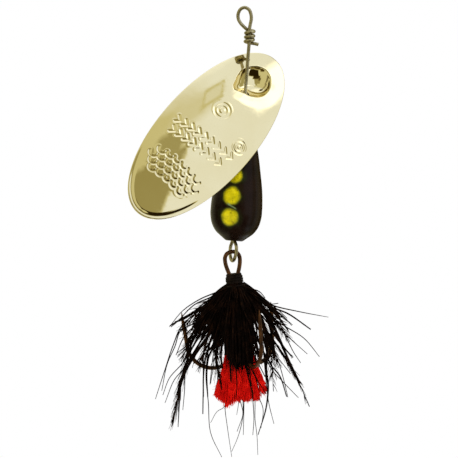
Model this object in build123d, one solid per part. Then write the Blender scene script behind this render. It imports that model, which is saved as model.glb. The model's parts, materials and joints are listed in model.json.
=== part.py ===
from build123d import *
import os
from math import sin, cos, radians, sqrt, pi

# In-line spinner, millimetres, +Z up along the shaft, viewer side is -Y.
# Origin: centre of the line-tie eye at the top of the shaft wire.

# ---- driving dimensions -------------------------------------------------
SHAFT_X = 1.0            # the shaft axis stands beside the eye's centre
WIRE_D = 0.53            # spring-steel shaft wire
Z_REF = -4.2             # lower end of the locking wraps
EYE_W = 2.04             # line eye, centreline width
EYE_TOP = 5.62           # line eye, centreline top above Z_REF
WRAP_PITCH = 0.66
WRAP_R = 0.605           # wrap vertices, centreline radius
WRAP_STEPS = 25          # 45 degree steps

PIVOT_Z = -38.17         # bottom bend of the lower loop: the hook swings on it
HOOK_AZ = 293.0          # azimuth of the loop plane and of the single hook
HOOK_TILT = 10.2         # hook's lean at rest
LOOP_W = 1.25            # half width of the lower loop

HOLE_Z = -11.85          # where the shaft passes through the blade
BLADE_LEAN = 24.0        # blade's lean towards the viewer side
BLADE_YAW = 37.65        # blade's long axis against the shaft, seen from -Y
BLADE_A = 17.53          # half length
BLADE_B = 7.53           # half width
BLADE_T = 0.40           # sheet
BLADE_RL = 82.0          # lengthwise crown radius
BLADE_RC = 23.0          # crosswise crown radius
BLADE_XC = 9.71          # hole to blade centre along the blade
HOLE_DEPTH = 1.0         # hole below the front surface, in the cup wall
HOLE_D = 1.44
CUP_X = -2.57            # cup centre from the hole, along the blade
CUP_RIM = 2.73
CUP_R = 3.0              # inside sphere radius

BEAD_Z = -13.60
BEAD_R = 0.90
BEAD_BORE = 0.335

BODY_TOP = -14.60
BODY_BOTTOM = -35.05
BODY_BORE = 0.335
TAG_BORE = 0.95          # counterbore that houses the wire's tucked tag end
TAG_BORE_DEPTH = 2.6

HOOK_D = 0.64            # hook wire
SHANK_R = 0.39           # shank centres from the bundle centre
BEND_Z = -12.5           # where the round bend starts
BEND_R = 4.0
TIP_R, TIP_Z = 8.80, -7.40

HEAD_TOP, HEAD_BOTTOM, HEAD_R = -1.98, -3.66, 1.30
FLOSS_TOP, FLOSS_BOTTOM, FLOSS_R = -3.72, -11.90, 1.60
TIE_TOP, TIE_BOTTOM, TIE_R = -11.95, -12.45, 1.75

os.makedirs("parts", exist_ok=True)


def rod(points, radii, dia):
    """A round wire along straight runs joined by tangent arcs."""
    path = FilletPolyline(*[tuple(p) for p in points], radius=radii)
    start = Plane(origin=path @ 0, z_dir=path % 0)
    return sweep(start * Circle(dia / 2), path=path)


def unit(v):
    n = sqrt(sum(c * c for c in v))
    return tuple(c / n for c in v)


# ---- shaft wire: tag, lower loop, shaft, eye, wraps, tag -------------------
n_dir = (cos(radians(HOOK_AZ)), sin(radians(HOOK_AZ)), 0.0)


def low(n, z):
    """A point in the plane of the lower loop, above its bottom bend."""
    return (SHAFT_X + n * n_dir[0], n * n_dir[1], PIVOT_Z + z)


def top(x, y, z):
    return (SHAFT_X + x, y, Z_REF + z)


pts = [low(-0.56, 5.3), low(-0.56, 3.0), low(-LOOP_W - 0.12, 2.05), low(-1.12, 0.75),
       low(-0.42, 0.0), low(0.42, 0.0), low(1.12, 0.75), low(LOOP_W + 0.12, 2.05),
       low(0.0, 3.10)]
rad = [0.45, 0.7, 0.8, 0.75, 0.75, 0.8, 0.7, 0.6]
pts += [top(0, 0, EYE_TOP), top(-EYE_W, 0, EYE_TOP), top(-EYE_W - 0.02, 0.05, 3.75)]
rad += [EYE_W / 2 - 0.01, EYE_W / 2 - 0.01, 1.6]
wrap_z = 2.20
for k in range(WRAP_STEPS + 1):
    a = radians(135 - 45 * k)
    pts.append(top(WRAP_R * cos(a), WRAP_R * sin(a), wrap_z - WRAP_PITCH * k / 8))
    rad.append(0.50)
rad[-(WRAP_STEPS + 1)] = 0.45
last = wrap_z - WRAP_PITCH * WRAP_STEPS / 8
pts.append(top(1.45, 0.60, last - 0.10))
shaft_wire = rod(pts, rad[: len(pts) - 2], WIRE_D)

# ---- spinner blade --------------------------------------------------------------
lean, yaw = radians(BLADE_LEAN), radians(BLADE_YAW)
t_dir = (-cos(lean) * sin(yaw), -sin(lean), -cos(lean) * cos(yaw))
f_dir = (sin(lean) * sin(yaw), -cos(lean), sin(lean) * cos(yaw))
blade_plane = Plane(origin=(SHAFT_X, 0, HOLE_Z), x_dir=t_dir, z_dir=f_dir)

crest = HOLE_DEPTH + BLADE_XC**2 / (2 * BLADE_RL)


def crown(drop):
    """Solid below the crowned surface, lowered by drop."""
    minor = BLADE_RC - drop
    ring = Rot(90, 0, 0) * Torus(BLADE_RL - BLADE_RC, minor)
    return Pos(BLADE_XC, 0, crest - BLADE_RL) * ring


def outline(grow=0.0):
    pts = []
    for k in range(28):
        a = 2 * pi * k / 28
        s = -cos(a)
        pts.append((BLADE_XC + (BLADE_A + grow) * -s,
                    (BLADE_B + grow) * sin(a) * (1 - 0.022 * s + 0.046 * s * s)))
    edge = Spline(*pts, periodic=True)
    return extrude(Plane.XY.offset(-4) * make_face(edge), amount=10)


sheet = (crown(0) - crown(BLADE_T)) & outline()
cup_surface = crest - (BLADE_XC - CUP_X) ** 2 / (2 * BLADE_RL)
cup_z = cup_surface + sqrt(CUP_R**2 - CUP_RIM**2)
cup_at = Pos(CUP_X, 0, cup_z)
bowl_out = (cup_at * Sphere(CUP_R + BLADE_T)) & crown(0.02)
blade = sheet + bowl_out - (cup_at * Sphere(CUP_R))
wall = unit((-CUP_X, 0, -cup_z))
hole = Plane(origin=(0, 0, 0), z_dir=wall) * Cylinder(HOLE_D / 2, 3.0)
blade = blade - hole
spinner_blade = blade_plane.location * blade

# ---- bead and weighted body ------------------------------------------------------
axis_at = lambda z: Pos(SHAFT_X, 0, z)
bearing_bead = axis_at(BEAD_Z) * (Sphere(BEAD_R) - Cylinder(BEAD_BORE, 4))

profile = [(0.62, -14.60), (0.98, -15.70), (1.50, -17.35), (2.70, -20.97), (3.30, -23.95),
           (3.83, -27.08), (4.02, -29.43), (4.02, -31.00), (3.67, -32.56), (2.97, -33.70),
           (1.95, -34.55), (1.25, -35.05)]
with BuildPart() as bp:
    with BuildSketch(Plane.XZ):
        with BuildLine():
            s = Spline(*profile, tangents=[(0.6, -1), (-1.6, -0.75)])
            Line(profile[-1], (0, BODY_BOTTOM))
            Line((0, BODY_BOTTOM), (0, BODY_TOP))
            Line((0, BODY_TOP), profile[0])
        make_face()
    revolve(axis=Axis.Z)
weight_body = bp.part - Pos(0, 0, -25) * Cylinder(BODY_BORE, 40)
weight_body -= Pos(0, 0, BODY_BOTTOM + TAG_BORE_DEPTH / 2 - 0.5) * Cylinder(TAG_BORE, TAG_BORE_DEPTH + 1.0)
weight_body = Pos(SHAFT_X, 0, 0) * weight_body

# ---- treble hook, in its own frame: origin on the hinge, z up the shank ------------
phi = radians(-HOOK_TILT)
p_dir = (cos(radians(HOOK_AZ + 90)), sin(radians(HOOK_AZ + 90)), 0.0)
hx = (cos(phi) * p_dir[0], cos(phi) * p_dir[1], -sin(phi))
hz = (sin(phi) * p_dir[0], sin(phi) * p_dir[1], cos(phi))
hook_loc = Plane(origin=(SHAFT_X, 0, PIVOT_Z), x_dir=hx, z_dir=hz).location
CY = -SHANK_R * sin(radians(30))     # bundle centre, so the double's shanks lie in the eye's plane


def spoke(az, r, z):
    return (r * cos(radians(az)), CY + r * sin(radians(az)), z)


def bend(az, trim=1.8):
    """Points from just below the hook's point, round the bend, to the shank."""
    dz, dr = TIP_Z - BEND_Z, TIP_R - (SHANK_R + 2 * BEND_R)
    f = 1 - trim / dz
    return [spoke(az, SHANK_R + 2 * BEND_R + dr * f, BEND_Z + dz * f),
            spoke(az, SHANK_R + 2 * BEND_R, BEND_Z),
            spoke(az, SHANK_R + 2 * BEND_R - 0.02, BEND_Z - BEND_R),
            spoke(az, SHANK_R, BEND_Z - BEND_R)]


def point(az, trim=1.8):
    a = bend(az, trim)[0]
    b = spoke(az, TIP_R, TIP_Z)
    d = tuple(q - p for p, q in zip(a, b))
    tip = Solid.make_cone(HOOK_D / 2, 0.05, sqrt(sum(c * c for c in d)), Plane(origin=a, z_dir=unit(d)))
    base = spoke(az, TIP_R - 0.14, TIP_Z - 2.3)
    inner = spoke(az, TIP_R - 0.70, TIP_Z - 3.15)
    e = tuple(q - p for p, q in zip(base, inner))
    barb = Solid.make_cone(0.25, 0.04, sqrt(sum(c * c for c in e)), Plane(origin=base, z_dir=unit(e)))
    return tip, barb


def union(first, *others):
    out = first
    for o in others:
        out = out + o
    return out


def hook_solids(dia):
    b30, b150 = bend(30), bend(150)
    x0, y0, _ = spoke(30, SHANK_R, 0)
    eye = [(x0, y0, -3.7), (0.80, 0, -1.9), (1.26, 0, -0.55), (1.25, 0, 1.40),
           (-1.25, 0, 1.40), (-1.26, 0, -0.55), (-0.80, 0, -1.9), (-x0, y0, -3.7)]
    er = [2.2, 2.2, 2.2, 1.2, 1.2, 2.2, 2.2, 2.2]
    dpts = b30 + eye + b150[::-1]
    drad = [2.5, BEND_R - 0.03, BEND_R - 0.03] + er + [BEND_R - 0.03, BEND_R - 0.03, 2.5]
    double = rod(dpts, drad, dia)
    single = rod(bend(270) + [spoke(270, SHANK_R, -2.75)], [2.5, BEND_R - 0.03, BEND_R - 0.03], dia)
    return union(double, *point(30), *point(150)), union(single, *point(270))


double_local, single_local = hook_solids(HOOK_D)
braze_local = Pos(0, CY, (FLOSS_TOP + FLOSS_BOTTOM) / 2) * Cylinder(0.50, FLOSS_TOP - FLOSS_BOTTOM - 0.6)
braze_local = braze_local - double_local - single_local

head_prof = [(0.0, HEAD_TOP), (1.16, HEAD_TOP), (1.30, -2.25), (1.24, -2.75), (1.36, -3.25),
             (1.28, HEAD_BOTTOM), (0.0, HEAD_BOTTOM)]
head_local = revolve(Plane.XZ * make_face(Polyline(*head_prof, close=True)), axis=Axis.Z)
head_local = Pos(0, CY / 2, 0) * head_local - double_local - single_local


def sleeve(r_in, r_out, z0, z1):
    return Pos(0, CY, (z0 + z1) / 2) * (Cylinder(r_out, abs(z0 - z1)) - Cylinder(r_in, abs(z0 - z1) + 1))


floss_local = sleeve(0.82, FLOSS_R, FLOSS_TOP, FLOSS_BOTTOM)
tie_local = sleeve(0.82, TIE_R, TIE_TOP, TIE_BOTTOM)

# ---- hackle: three feather bunches between the three hooks --------------------------
skirt_prof = [(1.75, -3.95), (3.3, -4.9), (5.9, -7.0), (8.3, -9.6), (9.9, -13.5), (10.6, -17.0),
              (9.6, -17.0), (8.3, -13.5), (6.6, -10.4), (4.2, -8.0), (2.3, -6.4), (1.75, -5.6)]


def bunch(az_mid, span):
    face = make_face(Polyline(*skirt_prof, close=True))
    s = revolve(Plane.XZ * face, axis=Axis.Z, revolution_arc=span)
    return Pos(0, CY, 0) * Rot(0, 0, az_mid - span / 2) * s


def plume(az, pts, t):
    """A flat feather tip hanging below the skirt, in the plane at azimuth az."""
    face = make_face(Polyline(*pts, close=True))
    flat = extrude(Plane.XZ * face, amount=t / 2, both=True)
    return Pos(0, CY, 0) * Rot(0, 0, az) * flat


front_left = bunch(210, 100) + plume(168, [(8.6, -15.8), (10.3, -16.2), (11.2, -21.0), (10.9, -27.2), (10.1, -26.6),
                                          (9.4, -21.0)], 0.6)
right = bunch(330, 100) + plume(338, [(8.7, -15.8), (10.4, -16.2), (10.9, -20.0), (9.9, -24.5), (9.2, -24.0),
                                     (9.1, -20.0)], 0.6)
back = bunch(90, 100) + plume(80, [(8.7, -15.8), (10.4, -16.2), (10.0, -20.0), (5.6, -27.6), (5.0, -27.2),
                                  (8.2, -20.0)], 0.6)

# ---- red tail: a flat fan tied under the shank's end ---------------------------------
fan = [(-1.65, -12.62), (1.65, -12.62), (2.4, -16.5), (3.9, -20.6), (3.3, -21.9), (-3.2, -22.5),
       (-4.3, -21.6), (-2.9, -17.0)]
tail_local = extrude(Plane.XZ * make_face(Polyline(*fan, close=True)), amount=0.75, both=True)
tail_local = Rot(0, 0, 270 - HOOK_AZ) * Pos(0, -1.25, 0) * tail_local
for az in (30, 150, 270):      # room for the bends that leave the shank here
    slab = Pos(0, CY, 0) * Rot(0, 0, az) * Pos(4.4, 0, -14.0) * Box(9.6, 1.0, 5.9)
    tail_local = tail_local - slab

out = {
    "shaft_wire": shaft_wire,
    "bearing_bead": bearing_bead,
    "spinner_blade": spinner_blade,
    "weight_body": weight_body,
    "treble_double_hook": hook_loc * double_local,
    "treble_single_hook": hook_loc * single_local,
    "shank_braze": hook_loc * braze_local,
    "head_thread": hook_loc * head_local,
    "shank_floss": hook_loc * floss_local,
    "tail_tie_thread": hook_loc * tie_local,
    "hackle_front_left": hook_loc * front_left,
    "hackle_right": hook_loc * right,
    "hackle_back": hook_loc * back,
    "red_tail_tuft": hook_loc * tail_local,
}
for name, shape in out.items():
    export_step(shape, f"parts/{name}.step")
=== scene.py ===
import bpy, json, math
import numpy as np
from mathutils import Vector, Matrix


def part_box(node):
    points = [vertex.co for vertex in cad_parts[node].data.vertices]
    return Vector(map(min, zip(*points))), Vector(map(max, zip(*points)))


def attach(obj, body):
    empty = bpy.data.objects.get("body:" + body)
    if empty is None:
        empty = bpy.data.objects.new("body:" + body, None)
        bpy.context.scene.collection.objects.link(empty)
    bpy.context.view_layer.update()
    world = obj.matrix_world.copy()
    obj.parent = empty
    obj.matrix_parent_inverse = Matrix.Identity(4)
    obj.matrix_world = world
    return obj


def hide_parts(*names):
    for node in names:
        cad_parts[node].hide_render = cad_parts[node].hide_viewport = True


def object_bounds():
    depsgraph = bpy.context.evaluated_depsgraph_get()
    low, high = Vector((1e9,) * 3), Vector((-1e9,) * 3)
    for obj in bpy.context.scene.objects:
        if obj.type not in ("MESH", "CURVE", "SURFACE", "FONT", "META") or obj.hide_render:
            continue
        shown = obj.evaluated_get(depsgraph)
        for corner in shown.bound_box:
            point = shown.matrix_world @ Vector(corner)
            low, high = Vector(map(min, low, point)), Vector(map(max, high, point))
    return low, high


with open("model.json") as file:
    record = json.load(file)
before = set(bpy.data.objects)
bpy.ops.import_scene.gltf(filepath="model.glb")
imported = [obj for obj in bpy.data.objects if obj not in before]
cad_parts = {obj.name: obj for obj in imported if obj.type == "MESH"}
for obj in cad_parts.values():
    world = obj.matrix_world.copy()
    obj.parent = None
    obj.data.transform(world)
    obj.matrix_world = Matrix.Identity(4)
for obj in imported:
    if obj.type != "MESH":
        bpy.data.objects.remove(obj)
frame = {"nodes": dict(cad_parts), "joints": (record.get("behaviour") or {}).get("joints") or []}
cad_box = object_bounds()
rng = np.random.default_rng(7)

# ------------------------------------------------------------------ helpers (millimetres)
def nrm(v):
    v = np.asarray(v, float)
    return v / np.linalg.norm(v, axis=-1, keepdims=True)


def joint(name):
    return next(j for j in frame["joints"] if j["name"] == name)


SHAFT_X = joint("blade_spin")["pos_m"][0] * 1000
HOLE = np.array(joint("blade_tilt")["pos_m"]) * 1000
PIVOT = np.array(joint("hook_swing")["pos_m"]) * 1000
N_DIR = nrm(joint("hook_swing")["axis"])

# blade frame: x to the tail, y across, z out of the face
lean, yaw = math.radians(24.0), math.radians(37.65)
BX = np.array([-math.cos(lean) * math.sin(yaw), -math.sin(lean), -math.cos(lean) * math.cos(yaw)])
BZ = np.array([math.sin(lean) * math.sin(yaw), -math.cos(lean), math.sin(lean) * math.cos(yaw)])
BY = np.cross(BZ, BX)
# treble frame: y against the hinge axis, z up the shank
tilt = math.radians(-10.2)
P_DIR = np.array([-N_DIR[1], N_DIR[0], 0.0])
HX = math.cos(tilt) * P_DIR + np.array([0, 0, -math.sin(tilt)])
HZ = math.sin(tilt) * P_DIR + np.array([0, 0, math.cos(tilt)])
HY = np.cross(HZ, HX)
CY = -0.195
U_DIR = nrm([-HZ[2] * -1, 0, -HZ[0]])          # across the shank as seen from the front


def blade_pt(p):
    p = np.asarray(p, float)
    return HOLE + p[..., 0:1] * BX + p[..., 1:2] * BY + p[..., 2:3] * BZ


def hook_pt(p):
    p = np.asarray(p, float)
    return PIVOT + p[..., 0:1] * HX + p[..., 1:2] * HY + p[..., 2:3] * HZ


def front_pt(u, z, d):
    """A point of the dressing: u to the right of the shank as seen from the front, z along it, d towards the front."""
    u, z, d = (np.asarray(a, float)[..., None] for a in (u, z, d))
    return PIVOT + u * U_DIR + z * HZ + d * np.array([0, -1.0, 0])


def add_mesh(name, V, quads=None, tris=None, mats=(), smooth=True, face_mat=None):
    V = np.asarray(V, float).reshape(-1, 3) * 0.001
    me = bpy.data.meshes.new(name)
    me.vertices.add(len(V))
    me.vertices.foreach_set("co", V.ravel())
    parts, totals = [], []
    if quads is not None and len(quads):
        q = np.asarray(quads, np.int32)
        parts.append(q.ravel()); totals.append(np.full(len(q), 4, np.int32))
    if tris is not None and len(tris):
        t = np.asarray(tris, np.int32)
        parts.append(t.ravel()); totals.append(np.full(len(t), 3, np.int32))
    loops, totals = np.concatenate(parts), np.concatenate(totals)
    me.loops.add(len(loops))
    me.loops.foreach_set("vertex_index", loops)
    me.polygons.add(len(totals))
    starts = np.concatenate([[0], np.cumsum(totals)[:-1]]).astype(np.int32)
    me.polygons.foreach_set("loop_start", starts)
    me.polygons.foreach_set("use_smooth", np.full(len(totals), smooth))
    for m in mats:
        me.materials.append(m)
    if face_mat is not None:
        me.polygons.foreach_set("material_index", np.asarray(face_mat, np.int32))
    me.update(calc_edges=True)
    me.validate()
    ob = bpy.data.objects.new(name, me)
    bpy.context.scene.collection.objects.link(ob)
    return ob


class Soup:
    """Collects vertices and faces of many small shapes into one mesh."""
    def __init__(self):
        self.v, self.q, self.t, self.n = [], [], [], 0

    def add(self, V, quads=None, tris=None):
        V = np.asarray(V, float).reshape(-1, 3)
        self.v.append(V)
        if quads is not None and len(quads):
            self.q.append(np.asarray(quads) + self.n)
        if tris is not None and len(tris):
            self.t.append(np.asarray(tris) + self.n)
        self.n += len(V)

    def mesh(self, name, mats, smooth=True):
        return add_mesh(name, np.concatenate(self.v), np.concatenate(self.q) if self.q else None,
                        np.concatenate(self.t) if self.t else None, mats, smooth)


def spline(points, step=0.08):
    """A smooth curve through the points, evenly sampled."""
    P = np.asarray(points, float)
    d = np.linalg.norm(np.diff(P, axis=0), axis=1) ** 0.5
    t = np.concatenate([[0], np.cumsum(d)])
    n = len(P)
    m = np.zeros_like(P)
    for i in range(n):
        if i == 0:
            m[i] = (P[1] - P[0]) / (t[1] - t[0])
        elif i == n - 1:
            m[i] = (P[-1] - P[-2]) / (t[-1] - t[-2])
        else:
            a, b = t[i] - t[i - 1], t[i + 1] - t[i]
            m[i] = ((P[i] - P[i - 1]) / a * b + (P[i + 1] - P[i]) / b * a) / (a + b)
    out = []
    for i in range(n - 1):
        k = max(2, int(np.linalg.norm(P[i + 1] - P[i]) / step) + 1)
        s = np.linspace(0, 1, k, endpoint=False)[:, None]
        h = t[i + 1] - t[i]
        out.append((2 * s**3 - 3 * s**2 + 1) * P[i] + (s**3 - 2 * s**2 + s) * h * m[i]
                   + (-2 * s**3 + 3 * s**2) * P[i + 1] + (s**3 - s**2) * h * m[i + 1])
    out.append(P[-1:])
    return np.concatenate(out)


def tube(path, radius, sides=20, flat=1.0, dome=True):
    """Vertices and quads of a round wire with rounded ends, by parallel transport."""
    path = np.asarray(path, float)
    r = np.broadcast_to(np.asarray(radius, float), (len(path),)).copy()
    T = np.gradient(path, axis=0)
    T = nrm(T)
    ref = np.array([0.0, 1, 0]) if abs(T[0][1]) < 0.9 else np.array([1.0, 0, 0])
    N = np.zeros_like(T)
    N[0] = nrm(np.cross(T[0], ref))
    for i in range(1, len(T)):
        v = N[i - 1] - T[i] * np.dot(N[i - 1], T[i])
        N[i] = nrm(v)
    B = np.cross(T, N)
    if dome:
        pre_p = [path[0] - T[0] * r[0] * k for k in (0.26, 0.18)]
        pre_r = [r[0] * k for k in (0.5, 0.85)]
        post_p = [path[-1] + T[-1] * r[-1] * k for k in (0.18, 0.26)]
        post_r = [r[-1] * k for k in (0.85, 0.5)]
        path = np.vstack([pre_p, path, post_p]); r = np.concatenate([pre_r, r, post_r])
        N = np.vstack([N[0], N[0], N, N[-1], N[-1]]); B = np.vstack([B[0], B[0], B, B[-1], B[-1]])
    a = np.linspace(0, 2 * math.pi, sides, endpoint=False)
    ring = np.cos(a)[None, :, None] * N[:, None] + flat * np.sin(a)[None, :, None] * B[:, None]
    V = path[:, None] + ring * r[:, None, None]
    n = len(path)
    i, j = np.meshgrid(np.arange(n - 1), np.arange(sides), indexing="ij")
    k = (j + 1) % sides
    q = np.stack([i * sides + j, i * sides + k, (i + 1) * sides + k, (i + 1) * sides + j], -1).reshape(-1, 4)
    V = np.vstack([V.reshape(-1, 3), path[:1], path[-1:]])
    c0, c1 = n * sides, n * sides + 1
    j = np.arange(sides); k = (j + 1) % sides
    t = np.vstack([np.stack([np.full(sides, c0), k, j], -1),
                   np.stack([np.full(sides, c1), (n - 1) * sides + j, (n - 1) * sides + k], -1)])
    return V, q, t


def lathe(profile, seg=192, axis_x=0.0, closed=False):
    """Revolves (radius, z) points about a vertical axis at x."""
    P = np.asarray(profile, float)
    a = np.linspace(0, 2 * math.pi, seg, endpoint=False)
    V = np.stack([axis_x + P[:, 0:1] * np.cos(a), P[:, 0:1] * np.sin(a), np.repeat(P[:, 1:2], seg, 1)], -1)
    n = len(P)
    rows = n if closed else n - 1
    i, j = np.meshgrid(np.arange(rows), np.arange(seg), indexing="ij")
    i2, k = (i + 1) % n, (j + 1) % seg
    q = np.stack([i * seg + j, i * seg + k, i2 * seg + k, i2 * seg + j], -1).reshape(-1, 4)
    return V.reshape(-1, 3), q


def fibres(paths, radii, sides=4, seed=0):
    """Many thin tapered fibres at once. paths (M, K, 3), radii (M, K)."""
    P = np.asarray(paths, float); R = np.asarray(radii, float)
    M, K, _ = P.shape
    T = nrm(np.gradient(P, axis=1) + 1e-9)
    ref = nrm(np.random.default_rng(seed).normal(size=(M, 1, 3)))
    N = np.cross(T, np.broadcast_to(ref, T.shape))
    N = nrm(N + 1e-9)
    B = np.cross(T, N)
    a = np.linspace(0, 2 * math.pi, sides, endpoint=False)
    ring = np.cos(a)[None, None, :, None] * N[:, :, None] + np.sin(a)[None, None, :, None] * B[:, :, None]
    V = P[:, :, None] + ring * R[:, :, None, None]
    base = (np.arange(M) * K * sides)[:, None, None]
    i, j = np.meshgrid(np.arange(K - 1), np.arange(sides), indexing="ij")
    k = (j + 1) % sides
    q = np.stack([i * sides + j, i * sides + k, (i + 1) * sides + k, (i + 1) * sides + j], -1).reshape(1, -1, 4)
    q = (q + base).reshape(-1, 4)
    end0 = np.arange(sides)[::-1].reshape(1, 1, sides)
    end1 = ((K - 1) * sides + np.arange(sides)).reshape(1, 1, sides)
    caps = np.concatenate([(end0 + base).reshape(-1, sides), (end1 + base).reshape(-1, sides)])
    if sides == 4:
        return V.reshape(-1, 3), np.vstack([q, caps]), None
    return V.reshape(-1, 3), q, caps if sides == 3 else None


# ------------------------------------------------------------------ materials
def material(name, color, metallic=0.0, rough=0.5, **sockets):
    m = bpy.data.materials.new(name)
    m.use_nodes = True
    nt = m.node_tree
    b = nt.nodes["Principled BSDF"]
    b.inputs["Base Color"].default_value = (*color, 1)
    b.inputs["Metallic"].default_value = metallic
    b.inputs["Roughness"].default_value = rough
    for k, v in sockets.items():
        b.inputs[k.replace("_", " ")].default_value = v
    return m, nt, b


def node(nt, kind, **props):
    n = nt.nodes.new(kind)
    for k, v in props.items():
        if k in n.inputs:
            n.inputs[k].default_value = v
        else:
            setattr(n, k, v)
    return n


def coords(nt, scale=(1, 1, 1), rotate=(0, 0, 0)):
    tc = node(nt, "ShaderNodeTexCoord")
    mp = node(nt, "ShaderNodeMapping")
    mp.inputs["Scale"].default_value = scale
    mp.inputs["Rotation"].default_value = rotate
    nt.links.new(tc.outputs["Object"], mp.inputs["Vector"])
    return mp.outputs["Vector"]


def noise(nt, vec, scale, detail=4.0, rough=0.55):
    n = node(nt, "ShaderNodeTexNoise")
    n.inputs["Scale"].default_value = scale
    n.inputs["Detail"].default_value = detail
    n.inputs["Roughness"].default_value = rough
    nt.links.new(vec, n.inputs["Vector"])
    return n.outputs["Fac"]


def ramp(nt, fac, stops):
    r = node(nt, "ShaderNodeValToRGB")
    e = r.color_ramp.elements
    while len(e) > 1:
        e.remove(e[0])
    e[0].position, e[0].color = stops[0][0], (*stops[0][1], 1)
    for pos, col in stops[1:]:
        x = e.new(pos); x.color = (*col, 1)
    nt.links.new(fac, r.inputs["Fac"])
    return r.outputs["Color"]


def span(nt, fac, lo, hi, a=0.0, b=1.0):
    r = node(nt, "ShaderNodeMapRange")
    for k, v in (("From Min", lo), ("From Max", hi), ("To Min", a), ("To Max", b)):
        r.inputs[k].default_value = v
    nt.links.new(fac, r.inputs["Value"])
    return r.outputs["Result"]


def math_n(nt, op, a, b=None, clamp=False):
    n = node(nt, "ShaderNodeMath")
    n.operation = op
    n.use_clamp = clamp
    for k, v in enumerate((a, b)):
        if v is None:
            continue
        if isinstance(v, (int, float)):
            n.inputs[k].default_value = v
        else:
            nt.links.new(v, n.inputs[k])
    return n.outputs[0]


def mix(nt, fac, a, b):
    n = node(nt, "ShaderNodeMix")
    n.data_type = "RGBA"
    for sock, v in ((0, fac), (6, a), (7, b)):
        if isinstance(v, (int, float)):
            n.inputs[sock].default_value = v
        elif isinstance(v, tuple):
            n.inputs[sock].default_value = (*v, 1)
        else:
            nt.links.new(v, n.inputs[sock])
    return n.outputs[2]


def bump(nt, b, height, strength, distance):
    n = node(nt, "ShaderNodeBump")
    n.inputs["Strength"].default_value = strength
    n.inputs["Distance"].default_value = distance
    nt.links.new(height, n.inputs["Height"])
    nt.links.new(n.outputs["Normal"], b.inputs["Normal"])


def steel_material():
    m, nt, b = material("drawn_spring_steel", (0.30, 0.26, 0.16), 1.0, 0.34)
    v = coords(nt, (1, 1, 0.16))
    n1 = noise(nt, v, 5200, 5)
    n2 = noise(nt, coords(nt), 420, 3)
    nt.links.new(ramp(nt, n2, [(0.3, (0.30, 0.255, 0.145)), (0.55, (0.47, 0.42, 0.27)), (0.75, (0.62, 0.57, 0.41))]),
                 b.inputs["Base Color"])
    nt.links.new(span(nt, n1, 0.3, 0.7, 0.26, 0.48), b.inputs["Roughness"])
    bump(nt, b, n1, 0.25, 0.00002)
    return m


def gold_material():
    m, nt, b = material("mirror_gold_plate", (0.86, 0.75, 0.47), 1.0, 0.05)
    n2 = noise(nt, coords(nt), 160, 3)
    nt.links.new(ramp(nt, n2, [(0.3, (0.84, 0.74, 0.45)), (0.7, (0.88, 0.79, 0.51))]), b.inputs["Base Color"])
    n1 = noise(nt, coords(nt, (1, 1, 1)), 1600, 5)
    nt.links.new(span(nt, n1, 0.35, 0.75, 0.03, 0.10), b.inputs["Roughness"])
    n3 = noise(nt, coords(nt), 300, 2)
    bump(nt, b, n3, 0.06, 0.0003)
    return m


def brass_material():
    m, nt, b = material("turned_brass", (0.75, 0.55, 0.22), 1.0, 0.2)
    n1 = noise(nt, coords(nt, (1, 1, 6)), 1500, 4)
    nt.links.new(span(nt, n1, 0.3, 0.7, 0.14, 0.32), b.inputs["Roughness"])
    nt.links.new(ramp(nt, n1, [(0.3, (0.66, 0.46, 0.17)), (0.7, (0.80, 0.60, 0.26))]), b.inputs["Base Color"])
    bump(nt, b, n1, 0.15, 0.00003)
    return m


def bronze_material():
    m, nt, b = material("bronze_hook_lacquer", (0.085, 0.036, 0.012), 0.75, 0.3)
    n1 = noise(nt, coords(nt), 520, 4)
    nt.links.new(ramp(nt, n1, [(0.3, (0.020, 0.008, 0.003)), (0.5, (0.070, 0.027, 0.009)), (0.74, (0.18, 0.075, 0.022))]),
                 b.inputs["Base Color"])
    n2 = noise(nt, coords(nt), 2600, 4)
    nt.links.new(span(nt, n2, 0.3, 0.7, 0.2, 0.42), b.inputs["Roughness"])
    b.inputs["Coat Weight"].default_value = 0.04
    b.inputs["Coat Roughness"].default_value = 0.15
    bump(nt, b, n2, 0.2, 0.00002)
    return m


def fibre_material(name, dark, mid, light, rough=0.42, sheen=0.0, spec=0.5, scale=900):
    m, nt, b = material(name, mid, 0.0, rough)
    n1 = noise(nt, coords(nt), scale, 4)
    nt.links.new(ramp(nt, n1, [(0.25, dark), (0.5, mid), (0.8, light)]), b.inputs["Base Color"])
    b.inputs["Sheen Weight"].default_value = sheen
    b.inputs["Specular IOR Level"].default_value = spec
    n2 = noise(nt, coords(nt), scale * 4, 3)
    nt.links.new(span(nt, n2, 0.3, 0.7, rough - 0.1, rough + 0.15), b.inputs["Roughness"])
    return m


M_STEEL, M_GOLD, M_BRASS, M_BRONZE = steel_material(), gold_material(), brass_material(), bronze_material()
M_THREAD = fibre_material("waxed_black_thread", (0.0022, 0.0012, 0.0009), (0.005, 0.003, 0.0022), (0.016, 0.009, 0.006), 0.5, 0.0, 0.07)
M_HACKLE = fibre_material("black_hackle_barbs", (0.0012, 0.0006, 0.0004), (0.0032, 0.0014, 0.0009), (0.016, 0.0060, 0.0025), 0.6, 0.0, 0.03)
M_QUILL = fibre_material("feather_quill", (0.006, 0.004, 0.003), (0.02, 0.013, 0.009), (0.05, 0.026, 0.012), 0.5, 0.0, 0.10)
M_RED = fibre_material("red_yarn", (0.34, 0.001, 0.0006), (0.64, 0.004, 0.002), (0.84, 0.014, 0.006), 0.7, 0.0, 0.06, 1100)

# ------------------------------------------------------------------ shaft wire
WIRE_R = 0.265


def low(n, z):
    return PIVOT + n * N_DIR + np.array([0, 0, z])


def top(x, y, z):
    return np.array([SHAFT_X + x, y, -4.2 + z])


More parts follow.
